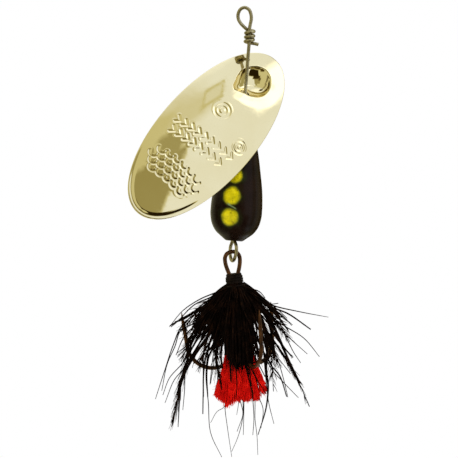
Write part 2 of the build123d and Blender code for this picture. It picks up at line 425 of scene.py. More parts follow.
pts = [low(-0.56, 5.3), low(-0.56, 4.4), low(-0.56, 3.6), low(-0.60, 3.12), low(-0.86, 2.70), low(-1.17, 2.22),
       low(-1.24, 1.6), low(-1.05, 0.88), low(-0.60, 0.22), low(0, 0.0), low(0.60, 0.22), low(1.05, 0.88),
       low(1.24, 1.6), low(1.13, 2.2), low(0.70, 2.72), low(0.22, 3.1), low(0.02, 3.5), low(0, 4.2), low(0, 8),
       low(0, 16), low(0, 24), top(0, 0, -2), top(0, 0, 0.5), top(-0.10, 0, 2.35), top(-0.03, 0, 3.1), top(0.06, 0, 3.9),
       top(-0.04, 0, 4.62), top(-0.40, 0, 5.34), top(-1.05, 0, 5.63), top(-1.68, 0, 5.36), top(-2.03, 0, 4.62),
       top(-1.98, 0.02, 3.86), top(-1.60, 0.08, 3.20), top(-1.08, 0.24, 2.70)]
for k in range(0, 102):
    a = math.radians(135 - 11.25 * k)
    r = 0.625 + 0.012 * math.sin(k * 0.31)
    pts.append(top(r * math.cos(a), r * math.sin(a), 2.22 - 0.64 * k / 32 + 0.03 * math.sin(k * 0.11)))
last = pts[-1]
pts = pts[:-1]
zt = pts[-1][2]
pts += [np.array([SHAFT_X + 0.45, 0.58, zt - 0.02]), np.array([SHAFT_X + 0.95, 0.60, zt - 0.07]),
        np.array([SHAFT_X + 1.43, 0.58, zt - 0.16])]
path = spline(pts, 0.07)
V, q, t = tube(path, WIRE_R, 22)
wire = add_mesh("shaft_wire_bent", V, q, t, [M_STEEL])
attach(wire, "shaft"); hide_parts("shaft_wire")

# ------------------------------------------------------------------ blade
A_, B_, XC, RL, RC, TH = 17.53, 7.53, 9.71, 82.0, 23.0, 0.40
CREST = 1.0 + XC**2 / (2 * RL)
CUP_X, CUP_RIM, CUP_R = -2.57, 2.73, 3.0
CUP_Z = CREST - (XC - CUP_X) ** 2 / (2 * RL) + math.sqrt(CUP_R**2 - CUP_RIM**2)


def smooth_step(e0, e1, x):
    s = np.clip((x - e0) / (e1 - e0), 0, 1)
    return s * s * (3 - 2 * s)


def soft_min(a, b, k):
    h = np.clip(0.5 + 0.5 * (b - a) / k, 0, 1)
    return b * (1 - h) + a * h - k * h * (1 - h)


def stroke_marks():
    """Plain stamped pattern: two rings, two rows of chevrons and a patch of scales. No lettering."""
    S = []

    def arc(cx, cy, r, a0, a1, n=14):
        a = np.radians(np.linspace(a0, a1, n))
        p = np.stack([cx + r * np.cos(a), cy + r * np.sin(a)], -1)
        S.extend(zip(p[:-1], p[1:]))

    arc(5.5, -0.8, 1.25, 0, 360, 37)
    arc(5.5, -0.8, 0.62, 0, 360, 25)
    arc(8.1, 5.0, 1.05, 0, 360, 31)
    arc(8.1, 5.0, 0.42, 0, 360, 17)
    for x0, y0, x1, y1, count in [(11.5, -4.9, 10.3, 5.0, 9), (13.4, -4.5, 12.4, 4.3, 8)]:
        for k in range(count):
            f = k / (count - 1)
            x, y = x0 + (x1 - x0) * f, y0 + (y1 - y0) * f
            a, b, c = np.array([x - 0.60, y - 0.34]), np.array([x, y + 0.32]), np.array([x + 0.60, y - 0.34])
            S.append((a, b)); S.append((b, c))
    for i in range(4):
        count = (6, 7, 6, 5)[i]
        for k in range(count):
            cy = -0.1 + 1.42 * (k - (count - 1) / 2)
            cx = 16.6 + 1.12 * i + 0.030 * cy * cy
            arc(cx, cy, 0.72, -80, 80, 11)
    return S


def blade_height(x, y):
    z = CREST - (x - XC) ** 2 / (2 * RL) - y * y / (2 * RC)
    return z


def blade_surface():
    NR, NS = ((150, 1000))
    u = np.linspace(0, 1, NR + 1)[1:]
    rho = u * 0.994
    th = np.linspace(0, 2 * math.pi, NS, endpoint=False)
    s = -np.cos(th)
    ex, ey = -A_ * s, B_ * np.sin(th) * (1 - 0.022 * s + 0.046 * s * s)
    X = XC + rho[:, None] * ex[None]
    Y = rho[:, None] * ey[None]
    X = np.vstack([np.full((1, NS), XC), X]); Y = np.vstack([np.zeros((1, NS)), Y])
    R = np.concatenate([[0], rho])[:, None] * np.ones((1, NS))
    # distance to the edge, roughly, in mm
    edge = (1 - R) / np.hypot(ex / A_**2, ey / B_**2)[None]
    Z = blade_height(X, Y)
    # turned-down edge and flat lip, strongest round the tail
    tail = smooth_step(XC + 5, XC + 15.5, X)
    Z = Z - 0.17 * tail * (1 - smooth_step(0.42, 0.92, edge)) + 0.09 * tail * (1 - smooth_step(0.0, 0.50, edge))
    # cup: round towards the head, squarer towards the tail
    dx, dy = X - CUP_X, Y
    ang = np.degrees(np.arctan2(dy, dx))
    rim_a = [-180, -150, -129, -100, -66, -45, -33, -24, -14, 0, 30, 69, 94, 127, 161, 180]
    rim_r = [2.86, 2.72, 2.66, 2.76, 3.02, 3.36, 3.86, 3.98, 3.42, 2.96, 2.74, 2.76, 2.70, 2.62, 2.80, 2.86]
    rim_at = np.interp(ang, rim_a, rim_r)
    rr = np.hypot(dx, dy) / rim_at * CUP_RIM
    # the sheet draws down round the cup, more on the tail side
    side = 0.08 + 0.92 * np.cos(np.radians(ang - 62)).clip(0, 1)
    Z = Z - 0.16 * side * (1 - smooth_step(2.5, 4.9, rr)) ** 1.5
    lim = 2.93
    bowl = CUP_Z - np.sqrt(np.maximum(CUP_R**2 - np.minimum(rr, lim) ** 2, 0)) + np.maximum(rr - lim, 0) * 5
    Zf = soft_min(Z, bowl, 0.16)
    cup_mask = rr < 3.6
    # stamped marks
    M = np.full(X.shape, 9.0)
    for a, b in stroke_marks():
        ab = b - a
        L2 = ab @ ab
        box = (X > min(a[0], b[0]) - 0.6) & (X < max(a[0], b[0]) + 0.6) & (Y > min(a[1], b[1]) - 0.6) & (Y < max(a[1], b[1]) + 0.6)
        if not box.any():
            continue
        px, py = X[box] - a[0], Y[box] - a[1]
        tt = np.clip((px * ab[0] + py * ab[1]) / L2, 0, 1)
        M[box] = np.minimum(M[box], np.hypot(px - tt * ab[0], py - tt * ab[1]))
    mark = -0.050 * (1 - smooth_step(0.04, 0.26, M)) + 0.016 * np.exp(-((M - 0.36) / 0.12) ** 2)
    Zm = Zf + mark
    return X, Y, Zf, Zm, R


X, Y, Zf, Zm, R = blade_surface()
NRr, NSs = X.shape
front = np.stack([X, Y, Zm], -1)
plain = np.stack([X, Y, Zf], -1)
du = np.gradient(plain, axis=0)
dv = (np.roll(plain, -1, 1) - np.roll(plain, 1, 1)) / 2
nn = np.cross(du, dv)
nn[0] = np.array([0, 0, 1.0])
nn = nrm(nn)
nn *= np.sign(nn[..., 2:3] + 1e-12)
back = plain - TH * nn + np.stack([0 * X, 0 * X, 0.6 * (Zm - Zf)], -1)
back[0] = back[0].mean(0)
front[0] = front[0].mean(0)
# the edge bulges to half its thickness
mid = (plain[-1] + (plain[-1] - TH * nn[-1])) / 2
out_dir = mid - np.array([XC, 0, 0]); out_dir[:, 2] = 0; out_dir = nrm(out_dir)
r1 = plain[-1] - 0.07 * TH * nn[-1] + out_dir * 0.09
r2 = mid + out_dir * 0.105
r3 = plain[-1] - 0.93 * TH * nn[-1] + out_dir * 0.09
# the hole follows the cup wall's normal
wall = nrm(np.array([-CUP_X, 0, -CUP_Z]))
midsurf = (plain + plain - TH * nn) / 2
HR = 0.70


def to_axis(p):
    al = p @ wall
    rad = p - al[..., None] * wall
    return al, rad, np.linalg.norm(rad, axis=-1)


al, rad, dist = to_axis(midsurf)
inside = (dist < HR) & (np.abs(al) < 1.3)
cell_in = inside[:-1] & inside[1:] & np.roll(inside, -1, 1)[:-1] & np.roll(inside, -1, 1)[1:]
touch = np.zeros_like(inside)
for arr in (front, back):
    al_, rad_, d_ = to_axis(arr)
    arr[inside] = (al_[..., None] * wall + rad_ / np.maximum(d_, 1e-6)[..., None] * HR)[inside]
W, verts = NSs, []
nf = NRr * W
verts = np.vstack([front.reshape(-1, 3), back.reshape(-1, 3), r1, r2, r3])
i, j = np.meshgrid(np.arange(1, NRr - 1), np.arange(W), indexing="ij")
keep = ~cell_in[1:].reshape(-1)
k = (j + 1) % W
qf = np.stack([i * W + j, (i + 1) * W + j, (i + 1) * W + k, i * W + k], -1).reshape(-1, 4)[keep]
qb = qf[:, ::-1] + nf
jj = np.arange(W); kk = (jj + 1) % W
last = (NRr - 1) * W
o1, o2, o3 = 2 * nf, 2 * nf + W, 2 * nf + 2 * W
rim = [np.stack([a + jj, b + jj, b + kk, a + kk], -1) for a, b in
       ((last, o1), (o1, o2), (o2, o3), (o3, nf + last))]
tf = np.stack([np.zeros(W, int), W + jj, W + kk], -1)
tb = np.stack([np.full(W, nf), nf + W + kk, nf + W + jj], -1)
# wall of the hole, between the two faces' matching borders
ci = np.zeros((NRr - 1, W), bool); ci[:] = cell_in
hole_q = []
for a in range(1, NRr - 1):
    for b in np.flatnonzero(ci[a]):
        c = (b + 1) % W
        if not ci[a - 1, b]:
            hole_q.append((a * W + b, a * W + c, nf + a * W + c, nf + a * W + b))
        if a + 1 < NRr - 1 and not ci[a + 1, b]:
            hole_q.append(((a + 1) * W + c, (a + 1) * W + b, nf + (a + 1) * W + b, nf + (a + 1) * W + c))
        if not ci[a, (b - 1) % W]:
            hole_q.append(((a + 1) * W + b, a * W + b, nf + a * W + b, nf + (a + 1) * W + b))
        if not ci[a, c]:
            hole_q.append((a * W + c, (a + 1) * W + c, nf + (a + 1) * W + c, nf + a * W + c))
quads = np.vstack([qf, qb] + rim + [np.array(hole_q)])
tris = np.vstack([tf, tb])
used = np.zeros(len(verts), bool)
used[quads.ravel()] = True; used[tris.ravel()] = True
remap = np.cumsum(used) - 1
blade = add_mesh("spinner_blade_stamped", blade_pt(verts[used]), remap[quads], remap[tris], [M_GOLD])
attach(blade, "blade"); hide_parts("spinner_blade")

# ------------------------------------------------------------------ bead
lo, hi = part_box("bearing_bead")
bz, br, bb = (lo.z + hi.z) * 500, (hi.x - lo.x) * 500, 0.335
a0 = math.asin((bb + 0.06) / br)
prof = [(br * math.sin(a), br * math.cos(a)) for a in np.linspace(a0, math.pi - a0, 40)]
zt = math.sqrt(br**2 - bb**2) - 0.05
prof = [(bb, zt - 0.06), (bb + 0.03, zt)] + prof + [(bb + 0.03, -zt), (bb, -zt + 0.06)]
V, q = lathe([(r, z + bz) for r, z in prof], 96, SHAFT_X, closed=True)
bead = add_mesh("bearing_bead_turned", V, q[:, ::-1], None, [M_BRASS])
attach(bead, "bead"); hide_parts("bearing_bead")

# ------------------------------------------------------------------ weighted body
def body_material():
    m, nt, b = material("body_gloss_black", (0.012, 0.009, 0.008), 0.0, 0.16)
    tc = node(nt, "ShaderNodeTexCoord")
    sx = node(nt, "ShaderNodeSeparateXYZ")
    nt.links.new(tc.outputs["Object"], sx.inputs[0])
    wob = noise(nt, tc.outputs["Object"], 900, 4)
    wob2 = noise(nt, tc.outputs["Object"], 320, 3)
    # angle about the shaft, measured from the front
    xx = math_n(nt, "SUBTRACT", sx.outputs["X"], SHAFT_X * 0.001)
    ang = math_n(nt, "ARCTAN2", xx, math_n(nt, "MULTIPLY", sx.outputs["Y"], -1.0))
    mask, core, glow = None, None, None
    for az0, z0, r0, sect in [(-13.2, -28.0, 1.66, 1), (-14.6, -31.45, 1.62, 1), (-11.0, -24.8, 1.42, 1), (-5.0, -21.6, 1.15, 1)]:
        # the same column of spots repeats round the body
        sector = 2 * math.pi / 3
        a = math_n(nt, "SUBTRACT", ang, math.radians(az0))
        a = math_n(nt, "ADD", a, sector / 2 + 4 * sector)
        a = math_n(nt, "MODULO", a, sector)
        a = math_n(nt, "SUBTRACT", a, sector / 2)
        rad_here = {-28.0: 3.9, -31.45: 3.95, -24.8: 3.45, -21.6: 2.8}[z0]
        du_ = math_n(nt, "MULTIPLY", a, rad_here)
        dv_ = math_n(nt, "MULTIPLY", math_n(nt, "SUBTRACT", sx.outputs["Z"], z0 * 0.001), 1000.0)
        d = math_n(nt, "SQRT", math_n(nt, "ADD", math_n(nt, "MULTIPLY", du_, du_), math_n(nt, "MULTIPLY", dv_, dv_)))
        d = math_n(nt, "ADD", d, math_n(nt, "MULTIPLY", math_n(nt, "SUBTRACT", wob2, 0.5), 0.55))
        d = math_n(nt, "ADD", d, math_n(nt, "MULTIPLY", math_n(nt, "SUBTRACT", wob, 0.5), 0.25))
        halo = span(nt, d, r0 + 0.75, r0 - 0.25)
        glow = halo if glow is None else math_n(nt, "MAXIMUM", glow, halo)
        one = span(nt, d, r0 + 0.04, r0 - 0.32)
        two = span(nt, d, r0 - 0.14, r0 - 0.62)
        mask = one if mask is None else math_n(nt, "MAXIMUM", mask, one)
        core = two if core is None else math_n(nt, "MAXIMUM", core, two)
    n2 = noise(nt, tc.outputs["Object"], 700, 5, 0.65)
    n3 = noise(nt, tc.outputs["Object"], 2300, 4, 0.6)
    dots = ramp(nt, n2, [(0.30, (0.20, 0.18, 0.004)), (0.43, (0.38, 0.33, 0.003)), (0.60, (0.56, 0.47, 0.004)), (0.8, (0.60, 0.55, 0.03))])
    edge = (0.060, 0.070, 0.006)
    black = ramp(nt, wob2, [(0.35, (0.0050, 0.0022, 0.0015)), (0.65, (0.0095, 0.0042, 0.0026))])
    patchy = span(nt, noise(nt, tc.outputs["Object"], 380, 4, 0.6), 0.42, 0.62)
    c = mix(nt, math_n(nt, "MULTIPLY", math_n(nt, "MULTIPLY", glow, patchy), 0.8), black, (0.012, 0.018, 0.0035))
    c = mix(nt, mask, c, edge)
    c = mix(nt, core, c, dots)
    smudge = math_n(nt, "MAXIMUM", math_n(nt, "MULTIPLY", span(nt, n3, 0.60, 0.68), core), math_n(nt, "MULTIPLY", span(nt, noise(nt, coords(nt, (1.0, 1.0, 0.7), (0.5, 0.3, 0.4)), 560, 5, 0.7), 0.60, 0.66), core))
    c = mix(nt, math_n(nt, "MULTIPLY", smudge, 0.8), c, (0.085, 0.050, 0.003))
    # a pale scuff between the two lower spots
    sz = math_n(nt, "MULTIPLY", math_n(nt, "ADD", sx.outputs["Z"], 0.02968), 1000.0)
    su = math_n(nt, "MULTIPLY", math_n(nt, "ADD", ang, math.radians(11.0)), 3.95)
    line = math_n(nt, "ABSOLUTE", math_n(nt, "ADD", sz, math_n(nt, "MULTIPLY", su, 0.52)))
    line = math_n(nt, "ADD", line, math_n(nt, "MULTIPLY", math_n(nt, "SUBTRACT", wob, 0.5), 0.35))
    scuff = math_n(nt, "MULTIPLY", span(nt, line, 0.20, 0.04), span(nt, math_n(nt, "ABSOLUTE", su), 0.85, 0.5))
    c = mix(nt, math_n(nt, "MULTIPLY", scuff, 0.75), c, (0.17, 0.23, 0.10))
    nt.links.new(c, b.inputs["Base Color"])
    nt.links.new(span(nt, noise(nt, tc.outputs["Object"], 1500, 4), 0.3, 0.7, 0.18, 0.32), b.inputs["Roughness"])
    b.inputs["IOR"].default_value = 1.25
    b.inputs["Specular IOR Level"].default_value = 0.3
    bump(nt, b, noise(nt, tc.outputs["Object"], 450, 3), 0.10, 0.0003)
    return m


M_BODY = body_material()
prof = [(0.345, -14.66), (0.40, -14.60), (0.62, -14.62), (0.78, -14.95), (0.98, -15.70), (1.50, -17.35), (2.13, -19.2),
        (2.70, -20.97), (3.30, -23.95), (3.83, -27.08), (4.02, -29.43), (4.03, -30.2), (4.02, -31.00), (3.67, -32.56),
        (2.97, -33.70), (1.95, -34.55), (1.38, -34.98), (1.20, -35.05), (1.02, -35.05), (0.95, -34.98)]
P2 = spline([(r, 0, z) for r, z in prof], 0.06)
prof = [(p[0], p[2]) for p in P2] + [(0.95, -32.6), (0.93, -32.45), (0.36, -32.45), (0.335, -32.4), (0.335, -14.75)]
V, q = lathe(prof, 256, SHAFT_X, closed=True)
fm = np.zeros(len(q), int)
rows = len(prof)
fm.reshape(rows, 256)[len(P2) - 2:] = 1
body = add_mesh("weight_body_painted", V, q, None, [M_BODY, M_BRASS], face_mat=fm)
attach(body, "weight"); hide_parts("weight_body")

# ------------------------------------------------------------------ treble hook
HR_ = 0.32


def spoke(az, r, z):
    a = math.radians(az)
    return np.array([r * math.cos(a), CY + r * math.sin(a), z])


def bend_pts(az):
    r0, r1, zb, R_ = 0.39, 8.39, -12.5, 4.0
    out = [spoke(az, 8.80, -7.40), spoke(az, 8.74, -8.4), spoke(az, 8.62, -9.8), spoke(az, 8.47, -11.4)]
    for d in np.linspace(0, 180, 15):
        a = math.radians(d)
        out.append(spoke(az, r0 + R_ + R_ * math.cos(a), zb - R_ * math.sin(a)))
    out += [spoke(az, r0, -10.5), spoke(az, r0, -8.0), spoke(az, r0, -5.5)]
    return out


def hook_radii(path, ends):
    L = np.concatenate([[0], np.cumsum(np.linalg.norm(np.diff(path, axis=0), axis=1))])
    r = np.full(len(path), HR_)
    for e in ends:
        d = L if e == 0 else L[-1] - L
        r = np.minimum(r, 0.02 + (HR_ - 0.02) * np.clip(d / 2.1, 0, 1) ** 0.75)
    return r


def barb(az):
    base, tip_ = spoke(az, 8.62, -9.55), spoke(az, 8.02, -10.55)
    p = np.linspace(0, 1, 6)[:, None] * (tip_ - base) + base
    return tube(hook_pt(p), np.linspace(0.24, 0.03, 6), 10)


eye = [(0.39, 0, -4.6), (0.40, 0, -3.8), (0.50, 0, -3.1), (0.76, 0, -2.0), (1.08, 0, -1.0), (1.25, 0, -0.1), (1.20, 0, 0.65),
       (0.82, 0, 1.20), (0.0, 0, 1.42), (-0.82, 0, 1.20), (-1.20, 0, 0.65), (-1.25, 0, -0.1), (-1.08, 0, -1.0),
       (-0.76, 0, -2.0), (-0.50, 0, -3.1), (-0.40, 0, -3.8), (-0.39, 0, -4.6)]
pts = [hook_pt(p) for p in bend_pts(30)] + [hook_pt(np.array(p, float)) for p in eye] + [hook_pt(p) for p in bend_pts(150)[::-1]]
path = spline(pts, 0.12)
S = Soup()
S.add(*tube(path, hook_radii(path, (0, 1)), 20))
for az in (30, 150):
    S.add(*barb(az))
double = S.mesh("treble_double_wire", [M_BRONZE])
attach(double, "treble"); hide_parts("treble_double_hook")
path = spline([hook_pt(p) for p in bend_pts(270)] + [hook_pt(spoke(270, 0.39, -2.8))], 0.12)
S = Soup()
S.add(*tube(path, hook_radii(path, (0,)), 20))
S.add(*barb(270))
single = S.mesh("treble_single_wire", [M_BRONZE])
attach(single, "treble"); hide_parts("treble_single_hook")
frame["nodes"]["shank_braze"].data.materials.clear()
frame["nodes"]["shank_braze"].data.materials.append(M_BRASS)

# ------------------------------------------------------------------ thread windings
def winding(name, r_of_z, z0, z1, pitch, r_thread, cy=CY / 2, turns_wobble=0.02, seed=1):
    g = np.random.default_rng(seed)
    S = Soup()
    # the core the thread lies on
    zs = np.linspace(z0, z1, 24)
    core = [(0.0, z0)] + [(r_of_z(z) - r_thread * 0.6, z) for z in zs] + [(0.0, z1)]
    Vc, qc = lathe(core, 48)
    Vc[:, 1] += cy
    S.add(hook_pt(Vc), qc)
    for layer in range(2):
        n = int(abs(z1 - z0) / pitch * 26)
        tt = np.linspace(0, 1, n)
        ang = tt * abs(z1 - z0) / pitch * 2 * math.pi + layer * 2.1
        if layer:
            ang = -ang * 0.35
        z = z0 + (z1 - z0) * tt + 0.02 * np.sin(ang * 0.37 + layer)
        r = np.array([r_of_z(v) for v in z]) + layer * r_thread * 0.8 + turns_wobble * np.sin(ang * 0.13 + g.uniform(0, 6))
        p = np.stack([r * np.cos(ang), cy + r * np.sin(ang), z], -1)
        S.add(*tube(hook_pt(p), r_thread, 7))
    return S.mesh(name, [M_THREAD])


def head_r(z):
    s = (z + 1.98) / (-3.66 + 1.98)
    return 1.10 + 0.12 * math.sin(s * math.pi) + 0.14 * s


head = winding("head_thread_windings", head_r, -2.03, -3.60, 0.15, 0.075)
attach(head, "treble"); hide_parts("head_thread")
floss = winding("shank_floss_windings", lambda z: 1.45 + 0.08 * math.sin(z * 1.3), -3.78, -11.85, 0.24, 0.10, CY, 0.03, 2)
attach(floss, "treble"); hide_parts("shank_floss")
tie = winding("tail_tie_windings", lambda z: 1.55, -11.98, -12.42, 0.13, 0.06, CY, 0.01, 3)
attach(tie, "treble"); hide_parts("tail_tie_thread")

# ------------------------------------------------------------------ hackle
def hair_paths(az, r0, z0, L, a0, a1, swirl, curl, K=14, g=rng):
    """Fibres that leave the head at azimuth az and angle a0 from the shank and droop to angle a1."""
    M = len(az)
    s = np.linspace(0, 1, K)[None]
    ang = a1[:, None] + (a0 - a1)[:, None] * (1 - s) ** 1.6
    azs = az[:, None] + swirl[:, None] * s
    ds = L[:, None] / (K - 1)
    wob = curl[:, None] * np.sin(s * g.uniform(3, 9, (M, 1)) + g.uniform(0, 6, (M, 1)))
    ang = ang + wob
    dr, dz = np.sin(ang) * ds, -np.cos(ang) * ds
    r = r0[:, None] + np.concatenate([np.zeros((M, 1)), np.cumsum(dr[:, 1:], 1)], 1)
    z = z0[:, None] + np.concatenate([np.zeros((M, 1)), np.cumsum(dz[:, 1:], 1)], 1)
    azs = azs + wob * 0.5
    return np.stack([r * np.cos(azs), CY + r * np.sin(azs), z], -1)


def taper(M, K, r0, r1):
    s = np.linspace(0, 1, K)[None]
    return r0[:, None] * (1 - s) + r1[:, None] * s


def bunch(az_mid, half, clumps, per, seed, ang=(10, 66), length=(6.5, 14.0), fat=1.0, pull=0.6, droop=(0.15, 0.7)):
    """Fibres in wedge-shaped clumps: each clump shares a direction, and its fibres close up towards the tip."""
    g = np.random.default_rng(seed)
    n = clumps * per
    rep_ = lambda a: np.repeat(a, per)
    azc = np.radians(g.uniform(az_mid - half, az_mid + half, clumps))
    a0c = np.radians(ang[0] + (ang[1] - ang[0]) * g.uniform(0, 1, clumps) ** 0.85)
    dr = g.uniform(*droop, clumps)
    Lc = g.uniform(*length, clumps) * (0.78 + 0.22 * np.cos(a0c))
    z0c = -3.7 - g.uniform(0, 1.6, clumps)
    sw, K = g.normal(0, 0.10, clumps), 14
    one = hair_paths(azc, np.full(clumps, 1.2), z0c, Lc, a0c, a0c * dr, sw, np.full(clumps, 0.02), K, g)
    az = rep_(azc) + g.normal(0, 0.10, n)
    a0 = np.clip(rep_(a0c) + g.normal(0, 0.085, n), 0, 1.3)
    L = rep_(Lc) * g.uniform(0.74, 1.04, n)
    p = hair_paths(az, np.full(n, 1.1) + g.uniform(0, 0.35, n), rep_(z0c) - g.uniform(-0.3, 0.5, n), L, a0, a0 * rep_(dr),
                   rep_(sw), np.abs(g.normal(0, 0.045, n)), K, g)
    s_ = np.linspace(0, 1, K)[None, :, None]
    frac = (L / rep_(Lc))[:, None]
    idx = np.clip(np.linspace(0, 1, K)[None] * frac * (K - 1), 0, K - 1.001)
    lo_i = idx.astype(int); w = (idx - lo_i)[..., None]
    cen = np.repeat(one, per, 0)
    rows_ = np.arange(n)[:, None]
    cen = cen[rows_, lo_i] * (1 - w) + cen[rows_, lo_i + 1] * w
    p = p + (cen - p) * pull * s_ ** 1.3
    P, R = hook_pt(p), taper(n, K, g.uniform(0.070, 0.110, n) * fat, g.uniform(0.035, 0.060, n))
    # thin places in the skirt, seen from the front, where light comes through
    uz = (P - PIVOT)[..., [0, 2]] @ np.linalg.inv(np.array([[U_DIR[0], U_DIR[2]], [HZ[0], HZ[2]]]))
    drop = np.zeros(n, bool)
    for u0, u1, z0, z1, chance in ((2.5, 5.9, -14.4, -8.8, 0.86), (-5.7, -2.5, -18.5, -11.8, 0.86), (4.0, 7.0, -18.0, -13.0, 0.80),
                                   (-9.4, -5.0, -18.5, -10.8, 0.78)):
        hit = ((uz[..., 0] > u0) & (uz[..., 0] < u1) & (uz[..., 1] > z0) & (uz[..., 1] < z1)).any(1)
        drop |= hit & (np.repeat(g.uniform(0, 1, clumps), per) * 0.6 + g.uniform(0, 1, n) * 0.4 < chance)
    return P[~drop], R[~drop]


def feather(S, stem, seed, barbs=46, length=4.2, angle=34, quill=0.12, normal=(0, -1, 0), thick=0.062):
    """A hackle feather: a tapering quill along stem with stiff barbs on both sides, a few of them stuck together."""
    g = np.random.default_rng(seed)
    path = spline(stem, 0.2)
    n = len(path)
    S.add(*tube(path, np.linspace(quill, 0.045, n) + 0.012 * np.sin(np.linspace(0, 40, n)), 6))
    T = nrm(np.gradient(path, axis=0))
    K = 8
    paths, radii = [], []
    for side in (-1, 1):
        f_prev = None
        for k in range(barbs):
            if f_prev is not None and g.uniform() < 0.35:
                f = f_prev + 0.004
            else:
                f = 0.12 + (0.84 * (k + g.uniform(-0.4, 0.4)) / barbs)
            f_prev = f
            idx = min(n - 1, max(0, int(f * (n - 1))))
            t = T[idx]
            nn_ = nrm(np.asarray(normal, float) + g.normal(0, 0.30, 3))
            side_v = nrm(np.cross(t, nn_)) * side
            a = math.radians(angle + g.normal(0, 6))
            Lb = length * (0.60 + 0.5 * math.sin(math.pi * min(1.0, f))) * (1 - 0.25 * f) * g.uniform(0.6, 1.25)
            d0 = nrm(math.cos(a) * t + math.sin(a) * side_v)
            d1 = nrm(math.cos(a * 0.6) * t + math.sin(a * 0.6) * side_v + g.normal(0, 0.09, 3))
            s = np.linspace(0, 1, K)[:, None]
            paths.append(path[idx] + Lb * (s * d0 + 0.5 * s**2 * (d1 - d0)))
            radii.append(np.linspace(thick, 0.024, K) * g.uniform(0.75, 1.15))
    S.add(*fibres(np.array(paths), np.array(radii), 4, seed)[:2])


def strand(S, pts_uzd, r0=0.05, r1=0.012, seed=0):
    p = spline([front_pt(*q_) for q_ in pts_uzd], 0.35)
    S.add(*tube(p, np.linspace(r0, r1, len(p)) * 1.3, 5))


